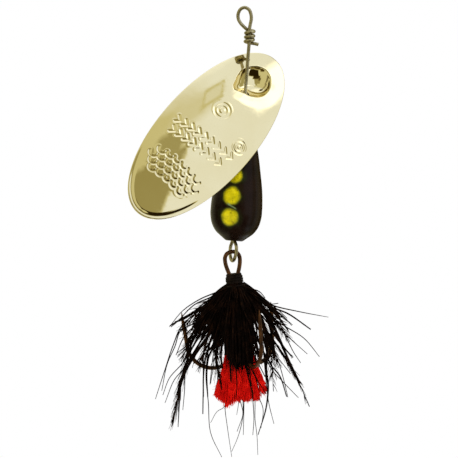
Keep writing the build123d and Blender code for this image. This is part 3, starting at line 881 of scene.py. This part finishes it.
# Long strands and feathers in millimetres: u right of the shank from the front, z along it, d towards the front;
# each line ends with the root and tip radius, or with barb count, barb length, barb angle and quill radius.
STRANDS_LEFT = [
    ([(-0.75, -4.06, 1), (-3.16, -4.75, 2), (-5.68, -5.57, 3), (-8.42, -7.09, 3), (-10.73, -9.41, 3)], 0.11, 0.04),
    ([(-0.92, -4.2, 1), (-3.91, -5.38, 1.6), (-6.62, -6.37, 2.2), (-9.44, -8.74, 2.1), (-10.48, -9.48, 2)], 0.12, 0.05),
    ([(-1.1, -4.5, 1), (-4.52, -5.92, 2.1), (-7.07, -7.55, 2.5), (-9.26, -8.58, 2.4)], 0.12, 0.05),
    ([(-1.12, -4.65, 1), (-5.07, -6.82, 2.3), (-7.69, -8.54, 3), (-8.43, -9.35, 3)], 0.13, 0.05),
    ([(-1.44, -4.78, 1), (-5.76, -7.5, 2), (-7.82, -9.56, 2)], 0.12, 0.05),
    ([(-1.5, -5.4, 1), (-5.96, -8.69, 3), (-7.26, -9.77, 3.4)], 0.12, 0.05),
    ([(-1.41, -4.47, 1), (-5.74, -7.23, 1.2), (-8.8, -9.47, 1.5), (-10.46, -12.47, 1.4), (-12, -16.01, 1), (-13.9, -20.5, 0.6)], 0.12, 0.04),
    ([(-1.6, -4.77, 1), (-6.52, -9.05, 1.2), (-9.04, -10.18, 1.3), (-10.12, -12.5, 1.2), (-11.58, -15.2, 0.8), (-12.8, -19.28, 0.4)], 0.11, 0.04),
    ([(-1.81, -5.38, 1), (-6.72, -9.5, 1.8), (-8.61, -11.22, 2.1), (-10.09, -13.92, 2)], 0.12, 0.05),
    ([(-1.86, -6, 1), (-6.01, -10.35, 2), (-8.07, -12.37, 2.5), (-9.91, -13.62, 2.5)], 0.12, 0.05),
    ([(-2.24, -6.75, 1), (-6.8, -12.17, 1.3), (-9.33, -15.4, 1.6), (-11.43, -17.42, 1.2), (-12.69, -19.98, 0.8)], 0.11, 0.04),
    ([(-2.28, -7.22, 1), (-6.53, -12.66, 1.5), (-9.23, -16.26, 2), (-10.77, -17.88, 1.5), (-12.46, -21.23, 1)], 0.11, 0.04),
    ([(-8.66, -15.46, 1.4), (-9.7, -18.36, 1.3), (-10.16, -20.99, 1.1), (-10.77, -25.18, 0.8)], 0.14, 0.05),
    ([(-8.9, -16.38, 1.6), (-9.25, -19.5, 1.2), (-9.79, -22.59, 1)], 0.07, 0.04),
    ([(-1.55, -6.03, 1.2), (-4.45, -10.49, 1.8), (-5.78, -13.96, 2.4), (-6.06, -16.95, 2), (-6.73, -23.48, 1.6)], 0.15, 0.07),
    ([(-1.24, -6.06, 1), (-4.21, -11.3, 1.4), (-5.65, -16.94, 1.8), (-5.72, -21.82, 1.8), (-5.77, -26.54, 1.4), (-4.38, -30.49, 1)], 0.1, 0.035),
    ([(-2.86, -20.85, 0.2), (-3.33, -22.69, 0.3), (-4.49, -23.33, 0.4), (-5.64, -24.97, 0.4)], 0.05, 0.03),
    ([(-2.65, -18.51, 0.2), (-3.19, -22.86, 0.3), (-3.11, -25.54, 0.4), (-2.82, -30.6, 0.4)], 0.06, 0.03),
    ([(-0.78, -18.68, 0.2), (-0.68, -22.1, 0.3), (-0.5, -24.03, 0.4), (-1.65, -26.73, 0.4)], 0.07, 0.035),
    ([(0.13, -17.18, 0.2), (-0.16, -22.14, 0.4), (-0.72, -27.33, 0.4)], 0.07, 0.035),
    ([(-0.24, -21.08, 0.2), (-0.55, -24.51, 0.2), (-1.51, -27.42, 0.2), (-2.75, -29.77, 0.2)], 0.06, 0.03),
    ([(-0.54, -19.48, 0.1), (-1.01, -22.27, 0.3), (-1.47, -24.12, 0.3)], 0.06, 0.03),
    ([(-1.15, -6.85, 2), (-1.39, -13.12, 2.6), (-1.03, -16.14, 3.3), (-0.99, -19.29, 3.1), (-1.34, -21.46, 2.9)], 0.16, 0.05),
    ([(-0.06, -6.95, 2), (0.16, -13.26, 2.6), (0.64, -16.76, 3.3), (0.97, -19.1, 3.1), (1.44, -21.07, 2.9)], 0.18, 0.06),
    ([(-3, -5.9, 1.5), (-4.96, -7.3, 2), (-7.07, -10.52, 2.1), (-8.42, -12.5, 2)], 0.24, 0.1),
    ([(-2.32, -7.01, 1.5), (-3.32, -9.54, 1.7), (-5.37, -11.98, 1.8), (-7.41, -14.42, 2), (-8.77, -16.4, 1.7), (-9.73, -18.41, 1.5), (-10.3, -20.45, 1.2)], 0.24, 0.16),
    ([(-3.21, -8.24, 1.8), (-4.69, -10.21, 2.3), (-6.48, -12.67, 2.6), (-8.13, -15.14, 2.6)], 0.2, 0.08),
    ([(-2.5, -9.09, 2), (-3.16, -10.6, 2.5), (-4.42, -13.11, 3), (-6.12, -14.53, 3), (-7.45, -15.46, 3)], 0.18, 0.07),
    ([(-2.2, -8.59, 2), (-2.94, -11.15, 2.3), (-3.59, -13.19, 2.6), (-3.96, -15.25, 2.8), (-3.75, -17.36, 2.7), (-3.41, -20.01, 2.6)], 0.28, 0.035),
    ([(-3.02, -9.04, 2), (-4.29, -11.55, 2.2), (-4.97, -13.33, 2.3), (-5.64, -15.1, 2.3), (-6.13, -17.68, 2), (-6.41, -20.8, 1.8)], 0.16, 0.08),
    ([(-2.87, -10.37, 2), (-4.01, -12.89, 2.2), (-5.03, -14.63, 2.4), (-5.57, -17.2, 2.1), (-5.73, -20.86, 1.8)], 0.16, 0.08),
    ([(-3.72, -11.08, 2), (-5.51, -13.54, 2.8), (-6.73, -15.53, 2.8)], 0.16, 0.07),
    ([(-2.92, -10.89, 2), (-4.06, -13.41, 2.8), (-3.59, -14.89, 2.8)], 0.18, 0.1),
    ([(-2.4, -10.93, 2.6), (-2.84, -12.99, 2.8), (-3.13, -14.8, 2.9), (-3.04, -16.64, 2.9)], 0.2, 0.12),
    ([(-4.16, -7.11, 1.6), (-5.92, -9.31, 2), (-7.66, -11.25, 2.1), (-8.17, -11.73, 2)], 0.18, 0.08),
    ([(-3.99, -8.17, 1.6), (-5.75, -10.37, 2.1), (-7.2, -12.6, 2.3), (-8.32, -14.34, 2.2)], 0.2, 0.1),
    ([(-4.91, -6.78, 1.4), (-7.62, -7.85, 1.5), (-9.8, -8.84, 1.6), (-10.62, -9.29, 1.5)], 0.16, 0.09),
    ([(-4.06, -6.07, 1.4), (-6.54, -7.42, 1.5), (-8.73, -8.54, 1.6), (-9.79, -8.71, 1.5)], 0.18, 0.09),
    ([(-0.8, -6.1, 2.4), (-1.62, -11, 3.2), (-2.01, -15.42, 3.2)], 0.24, 0.12),
    ([(-0.54, -6.12, 2.4), (-1.1, -11.05, 3.2), (-1.33, -16.01, 3.2)], 0.24, 0.12),
    ([(-0.28, -6.14, 2.4), (-0.59, -11.09, 3.2), (-0.77, -16.19, 3.2)], 0.24, 0.12),
    ([(-0.02, -6.16, 2.4), (-0.07, -11.14, 3.2), (-0.14, -16.37, 3.2)], 0.24, 0.12),
    ([(0.24, -6.19, 2.4), (0.45, -11.19, 3.2), (0.46, -16.37, 3.2)], 0.24, 0.12),
    ([(0.5, -6.21, 2.4), (0.97, -11.23, 3.2), (1.05, -16.22, 3.2)], 0.24, 0.12),
    ([(-1.06, -6.07, 2.4), (-2.17, -11.22, 3.2), (-2.41, -14.6, 3.2)], 0.24, 0.12),
    ([(0.11, -6.18, 2.4), (0.19, -11.16, 3.2), (-0.45, -16.08, 3.2)], 0.24, 0.12),
    ([(0.37, -6.2, 2.4), (0.71, -11.21, 3.2), (0.14, -16.45, 3.2)], 0.24, 0.12),
]
STRANDS_RIGHT = [
    ([(0.35, -9.34, 2), (1, -14.43, 2.6), (1.49, -17.21, 3.2), (2.35, -19.22, 3), (3.38, -21.25, 2.8)], 0.16, 0.05),
    ([(1.15, -10.98, 1.5), (1.2, -15.71, 2.1), (1.17, -19.63, 2.8), (1.24, -22.09, 2.9), (1.15, -24.98, 2.4), (0.76, -27.46, 2)], 0.1, 0.04),
    ([(1.39, -11.79, 1), (1.29, -16.5, 0.7), (1.64, -19.68, 0.5), (1.55, -22.47, 0.2), (1.33, -24.99, 0.2), (1.4, -27.67, 0.2), (1.27, -30.65, 0.2)], 0.08, 0.03),
    ([(3.78, -9.65, 1.4), (4.21, -13.61, 1.6), (3.73, -17.35, 1.9), (3.8, -20.03, 1.8), (3.19, -23.43, 1.4), (1.57, -27.53, 1)], 0.24, 0.05),
    ([(3.59, -13.56, 1), (3.56, -17.49, 1.3), (3.65, -22.31, 1.3), (4.2, -26.02, 1)], 0.09, 0.035),
    ([(2.4, -18.17, 0.3), (1.88, -20.48, 0.6), (2.71, -23.54, 0.8), (2.14, -26.48, 0.8)], 0.07, 0.035),
    ([(0.79, -4.35, 0.8), (3.47, -6, 0.9), (5.49, -7.44, 1), (9.71, -8.87, 0.8), (14.13, -10.12, 0.5)], 0.13, 0.035),
    ([(0.78, -4.51, 0.8), (3.59, -6.48, 1.1), (5.79, -7.94, 1.4), (7.95, -9.06, 1.3), (11.21, -11.78, 1.2)], 0.16, 0.08),
    ([(0.92, -4.68, 1), (4.02, -6.84, 1.7), (6.76, -8.95, 2), (8.32, -10.93, 2)], 0.12, 0.04),
    ([(1.05, -5, 1), (3.94, -7.77, 1.3), (6.45, -10.32, 1.6), (10.05, -13.08, 1.3), (12.21, -16.16, 1)], 0.12, 0.04),
    ([(1.16, -5.48, 1), (4.45, -9.08, 1.8), (7.64, -12.66, 2.1), (10.35, -15.56, 2)], 0.12, 0.04),
    ([(1.14, -5.8, 1), (4.2, -8.42, 1.8), (6.56, -11.2, 2.6), (8.29, -15.2, 2.4), (9.2, -16.86, 2.2)], 0.14, 0.04),
    ([(0.97, -5.94, 1), (3.83, -9.02, 1.7), (5.91, -12.51, 2.4), (7.38, -15, 2.7), (8.09, -15.85, 2.6), (7.77, -15.97, 2.4)], 0.12, 0.05),
    ([(1.18, -7.06, 1), (3.12, -13.52, 1), (4.61, -17.49, 1), (6.17, -19.56, 0.8), (8.36, -22.28, 0.5)], 0.1, 0.04),
    ([(1.18, -7.06, 1), (3.57, -11.99, 1.4), (5.6, -16, 1.8), (6.35, -19.4, 1.6), (6.73, -22.05, 1.4)], 0.1, 0.04),
    ([(1.03, -7.04, 1), (3.57, -11.99, 1.8), (5.47, -15.3, 2.1), (7.49, -18.45, 2)], 0.11, 0.04),
    ([(1.09, -4.53, 1), (3.47, -6, 1.7), (5.34, -7.25, 2), (6.54, -7.26, 2)], 0.11, 0.05),
    ([(0.82, -4.04, 1), (2.65, -4.67, 1.7), (3.76, -5.19, 2), (4.55, -6.22, 2)], 0.11, 0.05),
    ([(1.15, -6.27, 2), (1.72, -8.68, 2.2), (1.79, -10.78, 2.4), (2.6, -13.47, 2.3), (2.7, -15.32, 2.2)], 0.2, 0.12),
    ([(1.79, -7.9, 2), (1.91, -9.48, 2.2), (2.37, -11.62, 2.5), (2.67, -12.69, 2.6), (1.66, -15.22, 2.5), (1.31, -16.24, 2.4)], 0.17, 0.1),
    ([(1.06, -7.31, 2), (1.49, -11.28, 2.5), (1.52, -13.9, 2.8), (1.62, -16.27, 2.8)], 0.22, 0.14),
    ([(2.09, -7.4, 2), (2.79, -11.39, 2.6), (1.54, -13.64, 2.9), (1.12, -15.44, 2.9)], 0.14, 0.09),
    ([(1.53, -7.87, 1.6), (2.31, -10.83, 1.8), (3.12, -13.52, 1.8), (3.99, -15.56, 1.7)], 0.16, 0.1),
    ([(2.18, -6.36, 1.5), (4.57, -8.93, 1.6), (5.36, -11.88, 1.8), (6.73, -14.1, 1.7), (7.89, -15.78, 1.6)], 0.2, 0.09),
    ([(2.7, -6.41, 1.3), (5.02, -9.76, 1.4), (5.88, -11.93, 1.5), (7.33, -16.25, 1.4), (8.82, -20.05, 1.2)], 0.26, 0.12),
    ([(2.99, -9.05, 1.2), (3.9, -13.59, 1.3), (4.43, -16.52, 1.4), (5.8, -18.73, 1.2), (6.56, -21.95, 1.1)], 0.15, 0.07),
    ([(1.17, -16.36, 2.6), (2.9, -15.99, 2.3), (4.38, -15.59, 2.1), (5.3, -13.97, 1.8)], 0.12, 0.07),
    ([(1.23, -11.25, 2.4), (2.49, -14.77, 2.3), (3.91, -16.47, 2.1), (4.85, -16.16, 1.8)], 0.14, 0.08),
    ([(0.87, -9.39, 2.5), (1.57, -13.38, 2.6), (2.4, -15.81, 2.5), (3.46, -18.53, 2.4)], 0.12, 0.06),
    ([(2.38, -7.16, 1.6), (3.92, -10.44, 1.7), (4.94, -13.68, 1.7), (5.12, -16.05, 1.6)], 0.22, 0.12),
    ([(2.68, -6.67, 1.2), (4.53, -9.45, 1.3), (5.14, -12.91, 1.4), (5.32, -15.29, 1.4)], 0.2, 0.12),
    ([(1.63, -12.6, 2.8), (1.97, -14.73, 2.9), (1.34, -15.98, 2.9), (0.9, -16.47, 2.9)], 0.16, 0.1),
]
FEATHERS = [
    ("L", [(-1.44, -4.78, 1), (-4.22, -7.84, 1.1), (-6.32, -10.32, 1.3), (-7.48, -12.26, 1.4), (-8.66, -15.45, 1.4), (-9.73, -17.98, 1.1), (-10.37, -20.5, 0.9), (-11.75, -25.09, 0.6)], 70, 3.6, 7, 0.30),
    ("L", [(-1.15, -6.85, 1.5), (-3.01, -11.87, 2.2), (-3.83, -14.95, 3), (-3.58, -17.64, 2.8), (-3.46, -20.01, 2.6)], 70, 1.2, 20, 0.27),
    ("L", [(-1.1, -4.5, 1), (-4.9, -6.68, 1.7), (-7.43, -8.65, 1.9), (-8.99, -10.4, 1.8)], 30, 2.6, 27, 0.16),
    ("L", [(-1.29, -4.79, 1), (-4.88, -8.25, 2.2), (-7.34, -11.18, 2.8), (-9.41, -15.08, 2.8)], 34, 2.8, 25, 0.16),
    ("L", [(-1.16, -5.12, 1), (-3.69, -8.98, 2.6), (-5.28, -12.77, 3.5), (-6.9, -16.88, 3.6)], 32, 2.4, 24, 0.15),
    ("R", [(1.1, -6.26, 1), (3.71, -10.43, 1.2), (6.25, -14.68, 1.5), (7.27, -16.86, 1.4), (8.72, -20.13, 1), (9.96, -23.83, 0.6)], 44, 2.4, 5, 0.24),
    ("R", [(0.92, -4.68, 1), (3.97, -7.46, 1.4), (6.24, -10.18, 1.6), (7.83, -13.46, 1.6)], 30, 2.4, 27, 0.15),
    ("R", [(0.87, -5.3, 1), (3.18, -9.28, 2.2), (4.69, -13.5, 2.8), (5.76, -17.37, 2.8)], 32, 2.4, 25, 0.15),
    ("R", [(0.53, -5.58, 1), (1.73, -9.78, 2.5), (2.46, -13.93, 3.2), (2.65, -17.09, 3.2)], 30, 2.2, 24, 0.15),
]

groups = {}
for key, mid_az, seed in (("front_left", 210, 11), ("right", 330, 12), ("back", 90, 13)):
    S = Soup()
    few = key == "back"
    P, Rr = bunch(mid_az, 60, 18 if few else 24, 8, seed, (16, 50 if few else 64), (7.5, 14.0), 1.25, 0.75)
    S.add(*fibres(P, Rr, 4, seed)[:2])
    P, Rr = bunch(mid_az, 66, 22, 9, seed + 40, (1, 20), (7.0, 10.5), 1.25, 0.5, (0.1, 0.7))
    S.add(*fibres(P, Rr, 4, seed + 40)[:2])
    # short fibres close under the thread fill the shoulders
    P, Rr = bunch(mid_az, 66, 26, 8, seed + 60, (20, 66), (3.4, 6.0), 1.2, 0.3, (0.4, 0.9))
    S.add(*fibres(P, Rr, 4, seed + 60)[:2])
    groups[key] = S
# the thick core in front of the shank, and the fans at both sides
for key, az_c, wide, cl, per_, seed, ang_, len_, fat_, pull_, dr_ in (
        ("front_left", 247, 44, 62, 10, 77, (1, 14), (10.4, 12.9), 1.15, 0.5, (0.0, 0.4)),
        ("front_left", 166, 22, 26, 8, 78, (34, 68), (8.5, 13.5), 1.45, 0.85, (0.28, 0.72)),
        ("front_left", 180, 28, 16, 8, 79, (20, 44), (10.5, 15.0), 1.4, 0.85, (0.2, 0.7)),
        ("front_left", 185, 50, 30, 3, 90, (14, 46), (12.5, 18.0), 1.5, 0.9, (0.15, 0.6)),
        ("right", 325, 50, 24, 3, 91, (14, 46), (12.0, 16.5), 1.5, 0.9, (0.15, 0.6)),
        ("right", 336, 22, 18, 8, 80, (32, 66), (8.0, 12.5), 1.45, 0.85, (0.3, 0.8)),
        ("right", 345, 26, 12, 8, 81, (20, 42), (9.0, 13.5), 1.4, 0.85, (0.2, 0.7))):
    P, Rr = bunch(az_c, wide, cl, per_, seed, ang_, len_, fat_, pull_, dr_)
    groups[key].add(*fibres(P, Rr, 4, seed)[:2])
for key, rows_s in (("front_left", STRANDS_LEFT), ("right", STRANDS_RIGHT)):
    for k, (p, ra, rb) in enumerate(rows_s):
        strand(groups[key], p, ra, rb)
for k, (side_k, p, nb, lb, ab, rq) in enumerate(FEATHERS):
    feather(groups["front_left" if side_k == "L" else "right"], [front_pt(*q_) for q_ in p], 200 + k, nb, lb, ab, rq)
H_ = groups["back"]
for k, stem in enumerate([[(0.0, -4.0, -1.0), (-2.0, -8.4, -3.2), (-3.6, -14.0, -4.4), (-3.9, -21.0, -4.9)],
                          [(0.3, -4.0, -1.0), (3.0, -8.0, -3.2), (4.6, -14.0, -4.4), (4.6, -21.0, -4.8)],
                          [(0.1, -4.0, -1.2), (0.8, -7.0, -4.4), (1.0, -12.0, -7.0), (1.0, -18.5, -8.6)],
                          [(0.1, -4.0, -1.2), (-1.2, -7.2, -4.6), (-1.6, -12.0, -6.6), (-1.8, -17.0, -8.0)]]):
    feather(H_, [front_pt(*q_) for q_ in stem], 300 + k, 40, 2.4, 25, 0.16)

for key, S in groups.items():
    ob = S.mesh("hackle_%s_fibres" % key, [M_HACKLE])
    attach(ob, "treble"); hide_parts("hackle_" + key)

# ------------------------------------------------------------------ red tail
def red_tail():
    g = np.random.default_rng(31)
    M, K = 1900, 16
    # seven strands of yarn, teased apart at the cut end
    yarns = 7
    yc = np.linspace(-0.93, 0.93, yarns)
    y_id = g.integers(0, yarns, M)
    u = np.clip(yc[y_id] + g.normal(0, 1, M) * np.where(y_id < 4, 0.085, 0.058), -1.02, 1.02)
    s = np.linspace(0, 1, K)[None]
    ends_u = np.interp(u, [-1, -0.72, -0.45, -0.2, 0.1, 0.42, 0.72, 1], [-4.4, -3.7, -3.0, -1.95, -0.6, 1.0, 2.35, 3.45])
    ends_z = np.interp(u, [-1, -0.72, -0.45, -0.2, 0.1, 0.42, 0.72, 1], [-20.6, -21.5, -22.2, -21.6, -21.8, -21.8, -21.3, -20.8])
    mids_u = np.interp(u, [-1, -0.5, 0, 0.5, 1], [-2.95, -2.2, -0.6, 0.95, 2.3])
    tops_u = np.interp(u, [-1, 1], [-1.85, 1.25])
    ends_z = ends_z + g.normal(0, 0.24, M) + 0.28 * np.sin(y_id * 2.3)
    ends_u = ends_u + g.normal(0, 1, M) * np.where(y_id < 4, 0.13, 0.09)
    c0, c2 = tops_u[:, None], ends_u[:, None]
    c1 = 2 * mids_u[:, None] - 0.5 * (c0 + c2)
    U = (1 - s) ** 2 * c0 + 2 * s * (1 - s) * c1 + s**2 * c2
    Z = -12.3 + (ends_z[:, None] + 12.3) * s
    dep = g.uniform(-1, 1, M)
    D = 0.55 + dep[:, None] * (0.55 + 0.45 * s) + 0.25 * np.sin(s * math.pi) + 0.18 * np.cos(y_id * 1.9)[:, None] * s
    ph, fr = g.uniform(0, 6.28, (M, 1)), g.uniform(10, 26, (M, 1))
    U = U + 0.075 * s * np.sin(s * fr + ph)
    D = D + 0.075 * s * np.cos(s * fr * 1.1 + ph)
    P = front_pt(U, Z, D)
    Rr = np.broadcast_to(0.060 * (1 - 0.2 * s), (M, K))
    S = Soup()
    S.add(*fibres(P, Rr, 4, 31)[:2])
    # fuzz at the cut end and along the left edge
    N = 1500
    pick = g.integers(0, M, N)
    at = g.integers(K - 4, K, N)
    left = np.flatnonzero(u < -0.85)
    pick[:260] = g.choice(left, 260); at[:260] = g.integers(4, K, 260)
    base = P[pick, at]
    dirn = nrm(g.normal(0, 1, (N, 3)) + np.array([0, 0, -0.7]))
    s2 = np.linspace(0, 1, 5)[None, :, None]
    p2 = base[:, None] + dirn[:, None] * s2 * g.uniform(0.15, 0.62, (N, 1, 1)) + 0.08 * g.normal(0, 1, (N, 1, 3)) * s2**2
    S.add(*fibres(p2, np.broadcast_to(np.linspace(0.034, 0.014, 5), (N, 5)), 4, 32)[:2])
    return S.mesh("red_tail_fibres", [M_RED])


tail = red_tail()
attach(tail, "treble"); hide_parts("red_tail_tuft")

# ------------------------------------------------------------------ stage, light, camera
floor_z = cad_box[0][2] - 0.030
me = bpy.data.meshes.new("studio_floor")
s_ = 1.1
me.from_pydata([(-s_, -s_, floor_z), (s_, -s_, floor_z), (s_, s_, floor_z), (-s_, s_, floor_z)], [], [(0, 1, 2, 3)])
floor = bpy.data.objects.new("studio_floor", me)
bpy.context.scene.collection.objects.link(floor)
mf, ntf, bf = material("pale_floor", (0.86, 0.86, 0.85), 0.0, 0.6)
me.materials.append(mf)
floor.visible_glossy = False


def area(name, loc, target, size, power, color=(1, 1, 1), size_y=None):
    L = bpy.data.lights.new(name, "AREA")
    L.energy, L.size, L.color = power, size, color
    if size_y:
        L.shape, L.size_y = "RECTANGLE", size_y
    o = bpy.data.objects.new(name, L)
    o.location = loc
    d = Vector(target) - Vector(loc)
    o.rotation_euler = d.to_track_quat("-Z", "Y").to_euler()
    bpy.context.scene.collection.objects.link(o)
    o.visible_glossy = False
    return o


mid_z = (cad_box[0][2] + cad_box[1][2]) / 2
area("key_softbox", (0.10, -0.30, mid_z + 0.34), (0, 0, mid_z), 0.26, 1.5)
area("side_softbox", (-0.38, -0.16, mid_z + 0.08), (0, 0, mid_z), 0.22, 0.7)
area("rim_softbox", (0.30, 0.22, mid_z + 0.10), (0, 0, mid_z), 0.20, 0.6)

world = bpy.data.worlds.new("white_tent")
bpy.context.scene.world = world
world.use_nodes = True
nt = world.node_tree
nt.nodes.clear()
outw = node(nt, "ShaderNodeOutputWorld")
bg_cam = node(nt, "ShaderNodeBackground"); bg_cam.inputs["Color"].default_value = (1, 1, 1, 1); bg_cam.inputs["Strength"].default_value = 1.0
bg_ref = node(nt, "ShaderNodeBackground")
tc = node(nt, "ShaderNodeTexCoord")
sep = node(nt, "ShaderNodeSeparateXYZ")
nt.links.new(tc.outputs["Generated"], sep.inputs[0])
# directions round the object: azimuth 0 is the camera side, positive to the right; elevation up
az_w = math_n(nt, "MULTIPLY", math_n(nt, "ARCTAN2", sep.outputs["X"], math_n(nt, "MULTIPLY", sep.outputs["Y"], -1.0)), 180 / math.pi)
el_w = math_n(nt, "MULTIPLY", math_n(nt, "ARCSINE", sep.outputs["Z"]), 180 / math.pi)


def between(v, lo, hi, soft):
    up_ = span(nt, v, lo - soft, lo + soft)
    return math_n(nt, "MULTIPLY", up_, span(nt, v, hi + soft, hi - soft))


def zone(a0, a1, e0, e1, sa=3.0, se=3.0, slant=0.0, at=0.0):
    """A soft-edged window of the tent between two azimuths and two elevations; slant leans its sides."""
    a = az_w
    if slant:
        a = math_n(nt, "ADD", az_w, math_n(nt, "MULTIPLY", math_n(nt, "SUBTRACT", el_w, at), slant))
    return math_n(nt, "MULTIPLY", between(a, a0, a1, sa), between(el_w, e0, e1, se))


tone = math_n(nt, "ADD", 0.0, 0.80)


def lay(mask, value):
    """Blends the tone towards value where the mask is 1."""
    global tone
    n = node(nt, "ShaderNodeMix")
    n.data_type = "FLOAT"
    nt.links.new(mask, n.inputs[0]); nt.links.new(tone, n.inputs[2])
    n.inputs[3].default_value = value
    tone = n.outputs[0]


lay(zone(-200, 14, -90, 59, 9, 5), 0.60)           # warm wall on the left
lay(zone(73, 200, -90, 50, 4, 5), 0.94)            # bright panel on the right
lay(zone(58.5, 104, 30.5, 47.5, 1.6, 2.2, 0.85, 30), 1.0)  # its nearer corner
lay(zone(-200, 200, 68, 100, 1, 5), 0.87)           # bright ceiling
lay(zone(8, 29, 46, 57, 5, 2.5), 0.66)
lay(zone(22, 35, 49.5, 57.5, 0.6, 0.6, 0.25, 53), 0.58)
lay(zone(23.5, 33.5, 51, 56, 0.6, 0.6, 0.25, 53), 0.70)
lay(zone(-12, 26.5, 6, 37, 1.2, 1.4, 0.12, 20), 0.33)  # the photographer's side
lay(zone(6, 20, 34, 46.5, 1.2, 1.2, 0.35, 40), 0.36)
lay(zone(104, 150, -90, 60, 5, 5), 0.50)
lay(zone(-8, 36, -13, 7, 2, 2.5), 0.03)
lay(zone(1, 56, -50, -9, 2, 3, 0.3, 0), 0.01)
lay(zone(-14, 1, 2, 19, 3, 4), 0.14)
lay(zone(-95, 95, -90, -52, 8, 4), 0.07)
lay(zone(-66, 0, -60, -40, 6, 3), 0.08)
lay(zone(-112, -61, -52, 4, 4, 3), 0.13)
lay(zone(76, 98, -38, 30, 4, 4), 0.36)
lay(zone(128, 185, -30, 44, 6, 5), 0.14)
col = ramp(nt, tone, [(0.0, (0.012, 0.006, 0.001)), (0.12, (0.09, 0.055, 0.012)), (0.33, (0.36, 0.32, 0.14)), (0.60, (0.66, 0.63, 0.38)),
                      (0.80, (0.90, 0.94, 0.98)), (1.0, (1.0, 1.0, 1.0))])
nt.links.new(col, bg_ref.inputs["Color"])
nt.links.new(span(nt, tone, 0.80, 1.0, 1.0, 1.9), bg_ref.inputs["Strength"])
lp = node(nt, "ShaderNodeLightPath")
mx = node(nt, "ShaderNodeMixShader")
nt.links.new(lp.outputs["Is Camera Ray"], mx.inputs[0])
nt.links.new(bg_ref.outputs[0], mx.inputs[1])
nt.links.new(bg_cam.outputs[0], mx.inputs[2])
nt.links.new(mx.outputs[0], outw.inputs[0])

cam = bpy.data.cameras.new("camera")
co = bpy.data.objects.new("camera", cam)
bpy.context.scene.collection.objects.link(co)
bpy.context.scene.camera = co
roll = math.radians(4.35)
DIST = 3.0
right = Vector((math.cos(roll), 0, math.sin(roll)))
up = Vector((-math.sin(roll), 0, math.cos(roll)))
centre = Vector((0.00008, 0, -0.03326))
co.matrix_world = Matrix.Translation(centre + Vector((0, -DIST, 0))) @ Matrix((right, up, Vector((0, -1, 0)))).transposed().to_4x4()
cam.sensor_width = 36
cam.lens = 36 * DIST / (458 / 6.4 * 0.001)
cam.clip_start, cam.clip_end = 0.05, 20
bpy.context.scene.view_settings.view_transform = "Standard"
